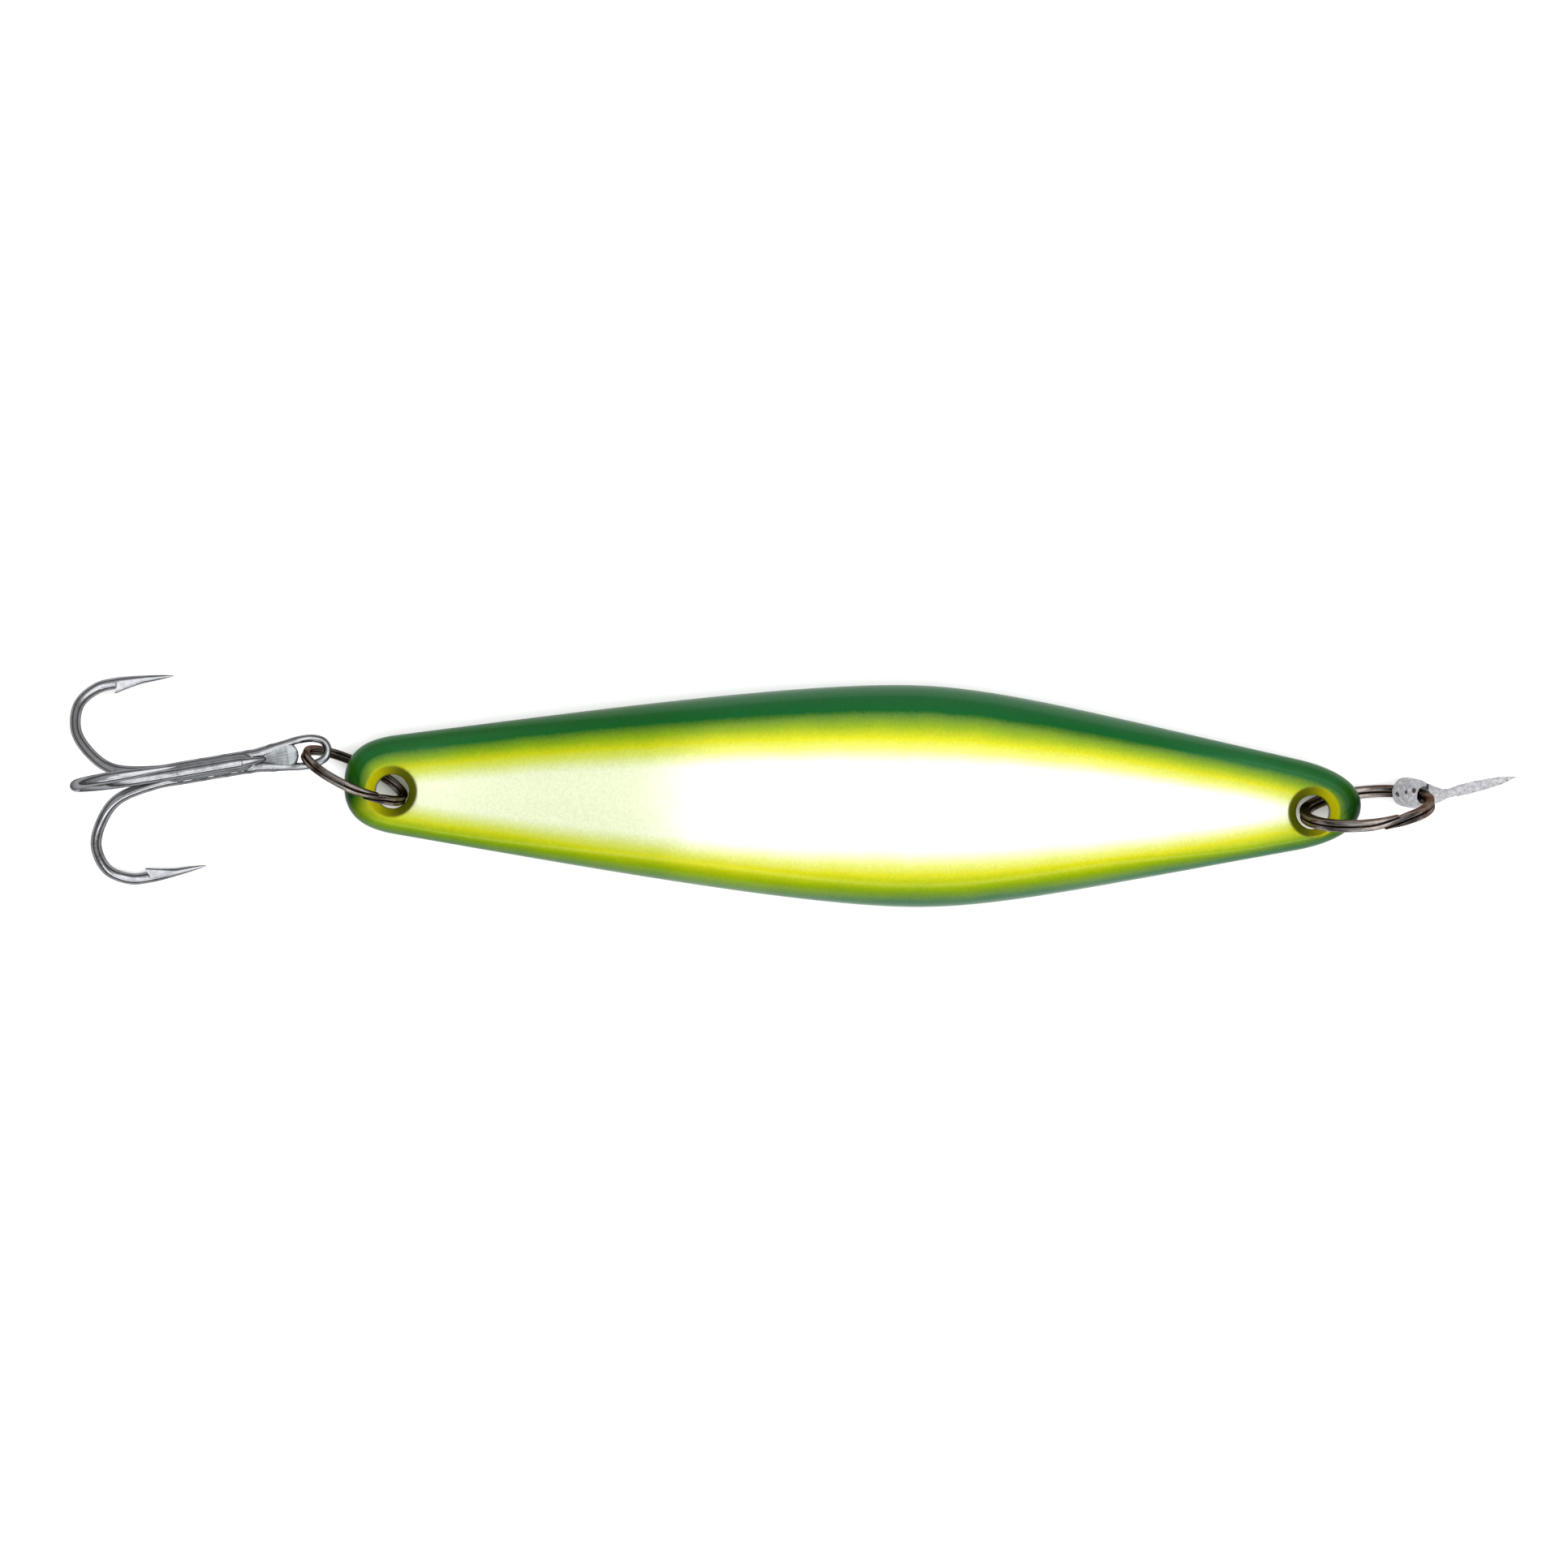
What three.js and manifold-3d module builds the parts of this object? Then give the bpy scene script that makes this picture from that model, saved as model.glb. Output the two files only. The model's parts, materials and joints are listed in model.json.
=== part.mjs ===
// A flat-sided metal casting jig: a solid tapered body drilled at both ends, a double-turn split ring in
// each hole, a brazed treble hook on the tail ring and a short woven tape looped round the nose ring.
// It lies on one broad side. Millimetres; +X points to the nose, +Y to the green back, +Z up, and the
// origin is on the flat of the underside, halfway along the body.
import * as THREE from "three";
import { mergeVertices } from "three/addons/utils/BufferGeometryUtils.js";
import Module from "manifold-3d";

const wasm = await Module();
wasm.setup();

// Body casting.
const bodyLength = 110;
const bodyHalfLength = bodyLength / 2;
const bodyHalfWidth = 12; // at the widest place
const widestX = 6.1; // the widest place lies a little ahead of the middle
const midPlaneZ = 4; // half the greatest thickness, so the flat underside is at Z = 0
const endHalfThickness = 1.8;
const flatTailX = -14; // the thickness is constant between these two places
const flatNoseX = 24;
const evenEndX = 46; // and constant again from here to each tip
const edgeRoll = 1.05; // width of the rolled edge over the half thickness

// Holes for the two split rings.
const holeX = 49.75;
const holeY = -0.75;
const boreRadius = 1.85;
const countersinkRadius = 2.72;
const countersinkDepth = 0.9;

// Split rings: each is one flat wire wound twice.
const floorGap = 0.06; // what rests on the ground is kept this far above it
const noseRing = { outer: 14.5, radial: 0.95, axial: 1.2, reach: 5.6, yaw: 8, lean: 14.5, slack: 0.6 };
const tailRing = { outer: 12.3, radial: 0.75, axial: 1, reach: 4.3, yaw: 155.5, lean: -12, slack: -0.3 };
noseRing.seam = 75; // where the wire ends, round the ring from its far side
tailRing.seam = 120;
const turnGap = 0.12; // between the two turns of a ring
const crossover = 0.32; // half the angle, in radians, over which the wire steps to its second turn
const ringSteps = 84; // along the two turns

// Treble hook, measured from the middle of its eye: along the shank, and out from the shank's axis.
const wireRadius = 0.6;
const eyeWireRadius = 0.42;
const strandOffset = 0.74; // centre of each shank wire from the shank's axis
const hookYaw = 190.9;
const hookPitch = 2.1; // the bends lie a little higher than the eye
const upperProng = 92.5; // places of the three prongs round the shank
const bellyProng = -31;
const backProng = 206.5;
const spearStart = 19.05;
const pointAlong = 13.05;
const spearRadial = 12.2;
const pointRadial = 11.95;
const pointRadius = 0.06;
const thirdWireStart = 3.2;
const doubleWireSteps = 150;
const singleWireSteps = 80;
const wireSides = 10;

// Tape round the nose ring.
const tapeAngle = -38; // place on the ring, from its far end
const tapeWidth = 3;
const tapeBore = 1.22;
const tapeThickness = 0.4;
const tapeNeckReach = 4; // from the ring's wire to the pinched neck
const tapeTipReach = 12.1; // and to the cut point
const tapeRise = 27; // the tail leans this far from square to the wire, towards level
const tapeSwing = -4; // and is turned this far round the wire
const tapeSideways = 1; // the neck and tail are pulled this far towards the belly side

const radians = THREE.MathUtils.degToRad;

// Joins closed loops of equal length into one skin and closes its ends with strips across the loops.
function skin(loops) {
  const count = loops[0].length;
  const positions = loops.flat().flatMap((p) => [p.x, p.y, p.z]);
  const index = [];
  for (let l = 0; l + 1 < loops.length; l++) {
    for (let j = 0; j < count; j++) {
      const a = l * count + j;
      const b = l * count + ((j + 1) % count);
      index.push(a, b, b + count, a, b + count, a + count);
    }
  }
  const strip = (base, flip) => {
    for (let i = 0; i < count / 2; i++) {
      const quad = [i, i + 1, count - i - 1, (count - i) % count].map((k) => base + k);
      if (flip) quad.reverse();
      const [a, b, c, d] = quad;
      if (new Set([a, b, c]).size === 3) index.push(a, b, c);
      if (new Set([a, c, d]).size === 3) index.push(a, c, d);
    }
  };
  strip(0, true);
  strip((loops.length - 1) * count, false);
  const geometry = new THREE.BufferGeometry();
  geometry.setAttribute("position", new THREE.Float32BufferAttribute(positions, 3));
  geometry.setIndex(signedVolume(positions, index) < 0 ? index.reverse() : index);
  return geometry;
}

function signedVolume(positions, index) {
  const corner = (k) => new THREE.Vector3().fromArray(positions, 3 * index[k]);
  let volume = 0;
  for (let k = 0; k < index.length; k += 3) {
    volume += corner(k).dot(corner(k + 1).cross(corner(k + 2))) / 6;
  }
  return volume;
}

// Carries a section along points. section(i) gives [across, side] pairs at point i; side starts as given.
function sweep(points, side, section) {
  let up = side.clone();
  const last = points.length - 1;
  return skin(
    points.map((point, i) => {
      const ahead = points[Math.min(i + 1, last)];
      const behind = points[Math.max(i - 1, 0)];
      const along = ahead.clone().sub(behind).normalize();
      const across = up.clone().cross(along).normalize();
      up = along.clone().cross(across);
      return section(i).map(([u, v]) =>
        point.clone().addScaledVector(across, u).addScaledVector(up, v),
      );
    }),
  );
}

function circle(radius, sides) {
  return Array.from({ length: sides }, (_, k) => {
    const angle = (2 * Math.PI * (k + 0.5)) / sides;
    return [radius * Math.cos(angle), radius * Math.sin(angle)];
  });
}

function solidOf(geometry) {
  const bare = new THREE.BufferGeometry();
  bare.setAttribute("position", geometry.getAttribute("position"));
  bare.setIndex(geometry.index);
  const merged = mergeVertices(bare, 1e-4);
  return new wasm.Manifold(
    new wasm.Mesh({
      numProp: 3,
      vertProperties: merged.attributes.position.array,
      triVerts: new Uint32Array(merged.index.array),
    }),
  );
}

function geometryOf(solid) {
  const mesh = solid.getMesh();
  const geometry = new THREE.BufferGeometry();
  geometry.setAttribute("position", new THREE.BufferAttribute(mesh.vertProperties, 3));
  geometry.setIndex(new THREE.BufferAttribute(mesh.triVerts, 1));
  return geometry;
}

function material(color, roughness, metalness) {
  return new THREE.MeshStandardMaterial({ color, roughness, metalness, flatShading: true });
}

function addPiece(group, name, geometry, look) {
  const mesh = new THREE.Mesh(geometry, look);
  mesh.name = name;
  group.add(mesh);
  return mesh;
}

// Half the body's outline, tail to nose: a round tail end, two long sides and a round nose end.
function bodyOutline() {
  const curve = (...p) => new THREE.CubicBezierCurve(...p.map(([x, y]) => new THREE.Vector2(x, y)));
  const tailSide = [-49.2, 5.4];
  const noseSide = [48.2, 4.9];
  const widest = [widestX, bodyHalfWidth];
  const stretches = [
    [curve([-bodyHalfLength, 0], [-bodyHalfLength, 3.3], [-53.2, 4.85], tailSide), 8],
    [curve(tailSide, [-29.2, 8.4], [-6.5, bodyHalfWidth], widest), 13],
    [curve(widest, [15, bodyHalfWidth], [24.2, 9.8], noseSide), 11],
    [curve(noseSide, [51.6, 4.17], [bodyHalfLength, 2.7], [bodyHalfLength, 0]), 8],
  ];
  return stretches.flatMap(([stretch, steps], part) =>
    Array.from({ length: steps + (part === stretches.length - 1) }, (_, i) => {
      const along = stretch.getTangent(i / steps);
      return { point: stretch.getPoint(i / steps), inward: new THREE.Vector2(along.y, -along.x) };
    }),
  );
}

// Half the thickness: constant in the middle and at the ends, with a smooth taper between.
function halfThickness(x) {
  const past = x < 0 ? (flatTailX - x) / (flatTailX + evenEndX) : (x - flatNoseX) / (evenEndX - flatNoseX);
  const eased = THREE.MathUtils.smoothstep(past, 0, 1);
  return THREE.MathUtils.lerp(midPlaneZ, endHalfThickness, eased);
}

function body() {
  const half = bodyOutline();
  const mirrored = half
    .slice(1, -1)
    .reverse()
    .map(({ point, inward }) => ({
      point: new THREE.Vector2(point.x, -point.y),
      inward: new THREE.Vector2(inward.x, -inward.y),
    }));
  const outline = [...half, ...mirrored];
  const steps = 6;
  const loops = [];
  for (let k = -steps; k <= steps; k++) {
    const angle = (k / steps) * (Math.PI / 2);
    loops.push(
      outline.map(({ point, inward }) => {
        const thick = halfThickness(point.x);
        const inset = edgeRoll * thick * (1 - Math.cos(angle));
        const z = midPlaneZ + thick * Math.sin(angle);
        return new THREE.Vector3(point.x + inset * inward.x, point.y + inset * inward.y, z);
      }),
    );
  }
  return [-holeX, holeX]
    .map((x) => solidOf(holeCutter(x)))
    .reduce((solid, cutter) => solid.subtract(cutter), solidOf(skin(loops)));
}

// The bore and its two countersinks as one turned shape.
function holeCutter(x) {
  const face = endHalfThickness;
  const past = 1; // the cutter stands this far past each face
  const half = [
    [boreRadius, face - countersinkDepth],
    [countersinkRadius, face],
    [countersinkRadius + past, face + past],
    [0, face + past],
  ];
  const profile = [...half.map(([r, z]) => [r, -z]).reverse(), ...half].map(
    ([r, z]) => new THREE.Vector2(r, z),
  );
  const cutter = new THREE.LatheGeometry(profile, 32);
  cutter.rotateX(Math.PI / 2);
  cutter.translate(x, holeY, midPlaneZ);
  return cutter;
}

// A flat wire wound twice, in the local XY plane, with its crossover at the seam's angle.
function splitRing({ outer, radial, axial, seam }) {
  const radius = (outer - radial) / 2;
  const strand = (axial - turnGap) / 2;
  const pitch = strand + turnGap;
  const points = Array.from({ length: ringSteps + 1 }, (_, i) => {
    const angle = crossover + (i / ringSteps) * (4 * Math.PI - 2 * crossover);
    const step = THREE.MathUtils.smoothstep(angle, 2 * Math.PI - crossover, 2 * Math.PI + crossover);
    const turn = angle + radians(seam);
    return new THREE.Vector3(radius * Math.cos(turn), radius * Math.sin(turn), pitch * (step - 0.5));
  });
  const [a, b] = [radial / 2, strand / 2];
  const corner = 0.3 * strand;
  const outline = [
    [a, b - corner],
    [a - corner, b],
    [corner - a, b],
    [-a, b - corner],
    [-a, corner - b],
    [corner - a, -b],
    [a - corner, -b],
    [a, corner - b],
  ];
  return sweep(points, new THREE.Vector3(0, 0, 1), () => outline);
}

// Stands a ring in its hole: its lowest point just above the ground, its near strand through the bore.
function placeRing(group, ring, x) {
  const lean = radians(ring.lean);
  const yaw = radians(ring.yaw);
  const leanSize = Math.abs(lean);
  const height = (ring.outer / 2) * Math.cos(leanSize) + (ring.axial / 2) * Math.sin(leanSize) + floorGap;
  const belowCentre = (midPlaneZ - height) / Math.cos(lean);
  const sideways = belowCentre * Math.sin(lean) + ring.slack;
  group.rotation.set(Math.PI / 2 + lean, 0, yaw, "ZYX");
  group.position.set(
    x + ring.reach * Math.cos(yaw) - sideways * Math.sin(yaw),
    holeY + ring.reach * Math.sin(yaw) + sideways * Math.cos(yaw),
    height,
  );
}

// One prong in the plane at its place round the shank, from the shank out to its point.
function prongPoints(place) {
  const profile = [
    [8, strandOffset],
    [13, strandOffset],
    [16.5, strandOffset + 0.05],
    [20.85, 1.9],
    [22.9, 4],
    [24.25, 7.2],
    [23.6, 10.4],
    [21.4, 12],
    [spearStart, spearRadial],
    [pointAlong, pointRadial],
  ];
  return profile.map(([along, out]) => radially(along, out, place));
}

function radially(along, out, place) {
  const angle = radians(place);
  return new THREE.Vector3(along, out * Math.cos(angle), out * Math.sin(angle));
}

// Full wire on the shank, thinner round the eye, and drawn down to the point over the spear.
function wireRadiusAt(point) {
  const out = Math.hypot(point.y, point.z);
  const onSpear = out > spearRadial - 2 && point.x < spearStart;
  if (onSpear) {
    const left = (point.x - pointAlong) / (spearStart - pointAlong);
    return pointRadius + (wireRadius - pointRadius) * Math.sqrt(Math.max(left, 0));
  }
  const towardsEye = THREE.MathUtils.smoothstep(point.x, 1.5, 5);
  return THREE.MathUtils.lerp(eyeWireRadius, wireRadius, towardsEye);
}

function wire(points, steps) {
  const path = new THREE.CatmullRomCurve3(points, false, "centripetal").getSpacedPoints(steps);
  const side = new THREE.Vector3(0.2, 0.3, 1); // never lies along the wire
  return solidOf(sweep(path, side, (i) => circle(wireRadiusAt(path[i]), wireSides)));
}

// The sliver raised behind each point, on the side that faces the shank.
function barb(place) {
  const angle = radians(place);
  const rows = [
    [16.2, 11.78, 0.1],
    [19.2, 11.02, 0.26],
    [19.3, 11.2, 0.24],
  ];
  const root = spearRadial - 0.1;
  return solidOf(
    skin(
      rows.map(([along, out, half]) =>
        [
          [out, -half],
          [root, -half],
          [root, half],
          [out, half],
        ].map(([r, across]) => {
          const point = radially(along, r, place);
          point.y -= across * Math.sin(angle);
          point.z += across * Math.cos(angle);
          return point;
        }),
      ),
    ),
  );
}

// One wire makes the eye, two shank strands and the two lower prongs; braze fills between its strands.
function doubleWire() {
  const eyeHalf = [
    [5.4, 0.68, -0.28],
    [2.3, 1.2, -0.1],
    [0.8, 1.42, 0],
    [-0.9, 1.36, 0],
    [-2, 0.85, 0],
  ];
  const eyeSide = (sign) => eyeHalf.map(([x, y, z]) => new THREE.Vector3(x, sign * y, z));
  const points = [
    ...prongPoints(bellyProng).reverse(),
    ...eyeSide(1),
    new THREE.Vector3(-2.35, 0, 0),
    ...eyeSide(-1).reverse(),
    ...prongPoints(backProng),
  ];
  const web = [
    [2.5, 1],
    [5.4, 0.6],
    [15.6, 0.6],
  ].map(([x, y]) =>
    [
      [-y, -0.55],
      [y, -0.55],
      [y, -0.12],
      [-y, -0.12],
    ].map(([across, z]) => new THREE.Vector3(x, across, z)),
  );
  return [barb(bellyProng), barb(backProng), solidOf(skin(web))].reduce(
    (solid, extra) => solid.add(extra),
    wire(points, doubleWireSteps),
  );
}

// The third wire lies in the groove above the other two and carries the upper prong.
function singleWire() {
  const start = radially(thirdWireStart, strandOffset, upperProng);
  return wire([start, ...prongPoints(upperProng)], singleWireSteps).add(barb(upperProng));
}

// The tape in its own frame: X runs out from the ring's wire, Z lies along the wire.
function tape() {
  const outer = tapeBore + tapeThickness;
  const sleeve = new THREE.CylinderGeometry(outer, outer, tapeWidth, 24);
  const bore = new THREE.CylinderGeometry(tapeBore, tapeBore, 3 * tapeWidth, 24);
  sleeve.rotateX(Math.PI / 2);
  bore.rotateX(Math.PI / 2);
  const rows = [
    [0.9, 1.3, 1.35],
    [2.4, 1, 1.15],
    [tapeNeckReach, 0.5, 0.5],
    [5.6, 0.62, 0.3],
    [9.5, 0.5, 0.2],
    [tapeTipReach, 0.07, 0.1],
  ];
  const rise = radians(tapeRise);
  const tail = rows.map(([reach, wide, deep]) =>
    circle(1, 12).map(([u, v]) => {
      const sideways = tapeSideways * THREE.MathUtils.smoothstep(reach, 0, tapeNeckReach);
      const point = new THREE.Vector3(reach, wide * u + sideways, deep * v);
      return point.applyAxisAngle(new THREE.Vector3(0, 1, 0), rise);
    }),
  );
  return solidOf(sleeve).add(solidOf(skin(tail))).subtract(solidOf(bore));
}

const lure = new THREE.Group();
addPiece(lure, "lure_body", geometryOf(body()), material(0xa8c43a, 0.25, 0.6));

const ringLook = material(0x6f665f, 0.3, 1);
const noseRingGroup = new THREE.Group();
placeRing(noseRingGroup, noseRing, holeX);
addPiece(noseRingGroup, "nose_split_ring", splitRing(noseRing), ringLook);
lure.add(noseRingGroup);

const tailRingGroup = new THREE.Group();
placeRing(tailRingGroup, tailRing, -holeX);
addPiece(tailRingGroup, "tail_split_ring", splitRing(tailRing), ringLook);
lure.add(tailRingGroup);

// The hook hangs on the far strand of the tail ring.
const hookLook = material(0xa9adb2, 0.28, 1);
const hookGroup = new THREE.Group();
const tailStrandRadius = (tailRing.outer - tailRing.radial) / 2;
const farStrand = new THREE.Vector3(tailStrandRadius, 0, 0);
hookGroup.position.copy(farStrand.applyEuler(tailRingGroup.rotation).add(tailRingGroup.position));
hookGroup.rotation.set(0, -radians(hookPitch), radians(hookYaw), "ZYX");
addPiece(hookGroup, "hook_double_wire", geometryOf(doubleWire()), hookLook);
addPiece(hookGroup, "hook_single_wire", geometryOf(singleWire()), hookLook);
lure.add(hookGroup);

// The tape sits round the nose ring's wire and its tail leans outwards, away from the body.
const tapeGroup = new THREE.Group();
const noseStrandRadius = (noseRing.outer - noseRing.radial) / 2;
tapeGroup.position.set(
  noseStrandRadius * Math.cos(radians(tapeAngle)),
  noseStrandRadius * Math.sin(radians(tapeAngle)),
  0,
);
tapeGroup.rotation.set(Math.PI / 2, 0, radians(tapeAngle), "ZYX");
const tapePiece = addPiece(tapeGroup, "ring_tape", geometryOf(tape()), material(0xd9d9d6, 0.9, 0));
tapePiece.rotation.z = radians(tapeSwing);
noseRingGroup.add(tapeGroup);

export default lure;
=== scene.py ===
import json
import math

import bmesh
import bpy
import numpy as np
from mathutils import Matrix, Vector


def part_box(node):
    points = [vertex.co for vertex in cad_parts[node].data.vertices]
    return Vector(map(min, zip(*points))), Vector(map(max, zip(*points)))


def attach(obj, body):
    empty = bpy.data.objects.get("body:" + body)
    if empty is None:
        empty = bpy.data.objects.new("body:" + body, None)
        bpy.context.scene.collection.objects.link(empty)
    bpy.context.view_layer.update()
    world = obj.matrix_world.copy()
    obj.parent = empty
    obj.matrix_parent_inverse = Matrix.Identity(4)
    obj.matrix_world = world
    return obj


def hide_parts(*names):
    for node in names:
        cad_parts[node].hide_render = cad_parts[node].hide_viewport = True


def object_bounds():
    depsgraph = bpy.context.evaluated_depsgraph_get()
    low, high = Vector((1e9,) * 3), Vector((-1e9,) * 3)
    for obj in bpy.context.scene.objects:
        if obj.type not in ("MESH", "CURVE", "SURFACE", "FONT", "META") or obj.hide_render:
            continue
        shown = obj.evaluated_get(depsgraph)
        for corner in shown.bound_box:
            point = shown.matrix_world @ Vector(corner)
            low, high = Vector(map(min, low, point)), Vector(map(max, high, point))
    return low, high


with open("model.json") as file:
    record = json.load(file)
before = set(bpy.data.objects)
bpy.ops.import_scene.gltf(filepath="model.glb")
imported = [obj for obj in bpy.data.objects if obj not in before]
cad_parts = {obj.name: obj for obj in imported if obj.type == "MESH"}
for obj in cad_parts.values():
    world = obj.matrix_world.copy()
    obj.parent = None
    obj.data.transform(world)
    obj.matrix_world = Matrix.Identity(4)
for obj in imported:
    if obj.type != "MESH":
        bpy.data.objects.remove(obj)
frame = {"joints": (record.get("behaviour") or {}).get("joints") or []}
cadLow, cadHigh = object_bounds()
mm = 0.001
joints = {j["name"]: j for j in frame["joints"]}


def report(stage):
    print("stage done:", stage)


def boxInMm(node):
    # lowest and highest corner of a solid of the frame, and the middle between them
    low, high = (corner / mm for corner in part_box(node))
    return low, high, (low + high) / 2


def linkMesh(name, mesh):
    piece = bpy.data.objects.new(name, mesh)
    bpy.context.scene.collection.objects.link(piece)
    return piece


def meshFrom(name, vertices, faces):
    mesh = bpy.data.meshes.new(name)
    mesh.from_pydata([tuple(map(float, v)) for v in vertices], [], faces)
    mesh.validate()
    shell = bmesh.new()
    shell.from_mesh(mesh)
    bmesh.ops.recalc_face_normals(shell, faces=shell.faces)
    shell.to_mesh(mesh)
    shell.free()
    return mesh


def frozen(piece):
    # turns a piece with live modifiers into a plain mesh and drops the modifiers
    graph = bpy.context.evaluated_depsgraph_get()
    mesh = bpy.data.meshes.new_from_object(piece.evaluated_get(graph))
    piece.modifiers.clear()
    piece.data = mesh
    return piece


def smoothWithCreases(piece, degrees):
    mesh = piece.data
    mesh.shade_smooth()
    mesh.set_sharp_from_angle(angle=math.radians(degrees))


def splinePoints(knots, count):
    # centripetal spline through the knots, evenly spaced along its length
    knots = np.array(knots, float)
    ends = np.vstack([2 * knots[0] - knots[1], knots, 2 * knots[-1] - knots[-2]])
    dense = []
    for i in range(1, len(ends) - 2):
        p = ends[i - 1 : i + 3]
        t = np.concatenate([[0], np.cumsum(np.sqrt(np.linalg.norm(np.diff(p, axis=0), axis=1)))])
        for s in np.linspace(t[1], t[2], 40, endpoint=False):
            a = [((t[k + 1] - s) * p[k] + (s - t[k]) * p[k + 1]) / (t[k + 1] - t[k]) for k in range(3)]
            b = [((t[k + 2] - s) * a[k] + (s - t[k]) * a[k + 1]) / (t[k + 2] - t[k]) for k in range(2)]
            dense.append(((t[2] - s) * b[0] + (s - t[1]) * b[1]) / (t[2] - t[1]))
    dense = np.array(dense + [knots[-1]])
    length = np.concatenate([[0], np.cumsum(np.linalg.norm(np.diff(dense, axis=0), axis=1))])
    even = np.linspace(0, length[-1], count)
    return np.stack([np.interp(even, length, dense[:, k]) for k in range(3)], axis=1)


def sweepFrames(points, side):
    # along, across and up at every point, carried without twist
    frames = []
    up = np.array(side, float)
    for i in range(len(points)):
        along = points[min(i + 1, len(points) - 1)] - points[max(i - 1, 0)]
        along = along / np.linalg.norm(along)
        across = np.cross(up, along)
        across = across / np.linalg.norm(across)
        up = np.cross(along, across)
        frames.append((along, across, up))
    return frames


def wallFaces(rows, count, base=0):
    # four-sided faces between closed loops that follow each other
    faces = []
    for row in range(rows - 1):
        for j in range(count):
            a = base + row * count + j
            b = base + row * count + (j + 1) % count
            faces.append((a, b, b + count, a + count))
    return faces


def closedFaces(rows, count, base=0):
    # the same with both ends shut
    last = base + (rows - 1) * count
    ends = [tuple(base + j for j in reversed(range(count))), tuple(last + j for j in range(count))]
    return wallFaces(rows, count, base) + ends


def skinLoops(name, loops):
    return meshFrom(name, np.vstack(loops), closedFaces(len(loops), len(loops[0])))


def addNode(tree, kind, inputs=None, **settings):
    node = tree.nodes.new(kind)
    for key, value in settings.items():
        setattr(node, key, value)
    for key, value in (inputs or {}).items():
        if isinstance(value, bpy.types.NodeSocket):
            tree.links.new(value, node.inputs[key])
        else:
            node.inputs[key].default_value = value
    return node


def mathNode(tree, operation, *values, clamp=False):
    inputs = {i: v for i, v in enumerate(values)}
    return addNode(tree, "ShaderNodeMath", inputs, operation=operation, use_clamp=clamp).outputs[0]


def rangeNode(tree, value, low, high, outLow=0.0, outHigh=1.0, smooth=True):
    kind = "SMOOTHSTEP" if smooth else "LINEAR"
    inputs = {"Value": value, "From Min": low, "From Max": high, "To Min": outLow, "To Max": outHigh}
    return addNode(tree, "ShaderNodeMapRange", inputs, interpolation_type=kind).outputs["Result"]


def noiseNode(tree, coords, scale, detail=3.0, roughness=0.5):
    inputs = {"Vector": coords, "Scale": scale, "Detail": detail, "Roughness": roughness}
    return addNode(tree, "ShaderNodeTexNoise", inputs).outputs["Fac"]


def stretched(tree, coords, scale, turn=(0, 0, 0)):
    inputs = {"Vector": coords, "Scale": scale, "Rotation": turn}
    return addNode(tree, "ShaderNodeMapping", inputs).outputs[0]


def rampNode(tree, value, stops):
    ramp = addNode(tree, "ShaderNodeValToRGB", {"Fac": value})
    elements = ramp.color_ramp.elements
    while len(elements) < len(stops):
        elements.new(0.5)
    for element, (place, color) in zip(elements, stops):
        element.position = place
        element.color = (*color, 1)
    return ramp.outputs["Color"]


def mixColor(tree, factor, first, second, blend="MIX"):
    node = addNode(tree, "ShaderNodeMix", data_type="RGBA", blend_type=blend)
    for socket, value in ((node.inputs[0], factor), (node.inputs[6], first), (node.inputs[7], second)):
        if isinstance(value, bpy.types.NodeSocket):
            tree.links.new(value, socket)
        else:
            socket.default_value = value
    return node.outputs[2]


def runTree(piece, tree, values):
    # puts a tree on a piece, sets its named inputs and leaves the plain result
    modifier = piece.modifiers.new(tree.name, "NODES")
    modifier.node_group = tree
    for item in tree.interface.items_tree:
        if item.in_out == "INPUT" and item.name in values:
            modifier[item.identifier] = values[item.name]
    return frozen(piece)


def newTree(name, sockets):
    # an empty tree with its named inputs, and the given values as their defaults
    tree = bpy.data.node_groups.new(name, "GeometryNodeTree")
    for label, kind, value in sockets:
        socket = tree.interface.new_socket(name=label, in_out="INPUT", socket_type="NodeSocket" + kind)
        if value is not None:
            socket.default_value = value
    tree.interface.new_socket(name="Geometry", in_out="OUTPUT", socket_type="NodeSocketGeometry")
    return tree, addNode(tree, "NodeGroupInput").outputs


def endTree(tree, geometry, finish):
    real = addNode(tree, "GeometryNodeRealizeInstances", {"Geometry": geometry}).outputs[0]
    done = addNode(tree, "GeometryNodeSetMaterial", {"Geometry": real, "Material": finish}).outputs[0]
    tree.links.new(done, addNode(tree, "NodeGroupOutput").inputs[0])
    return tree


def splitXyz(tree, vector):
    return addNode(tree, "ShaderNodeSeparateXYZ", {"Vector": vector}).outputs


def joinXyz(tree, x, y, z):
    return addNode(tree, "ShaderNodeCombineXYZ", {"X": x, "Y": y, "Z": z}).outputs[0]


def bumpNode(tree, height, strength, distance, normal=None):
    inputs = {"Height": height, "Strength": strength, "Distance": distance}
    if normal is not None:
        inputs["Normal"] = normal
    return addNode(tree, "ShaderNodeBump", inputs).outputs["Normal"]


def startMaterial(name, settings):
    material = bpy.data.materials.new(name)
    material.use_nodes = True
    tree = material.node_tree
    shader = tree.nodes["Principled BSDF"]
    for key, value in settings.items():
        shader.inputs[key].default_value = value
    coords = addNode(tree, "ShaderNodeTexCoord").outputs["Object"]
    return material, tree, shader, coords


def linear(r, g, b):
    # everyday 0 to 255 colour to the light values that shaders use
    shares = [c / 255 for c in (r, g, b)]
    return tuple(c / 12.92 if c < 0.0404 else ((c + 0.055) / 1.055) ** 2.4 for c in shares)


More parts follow.
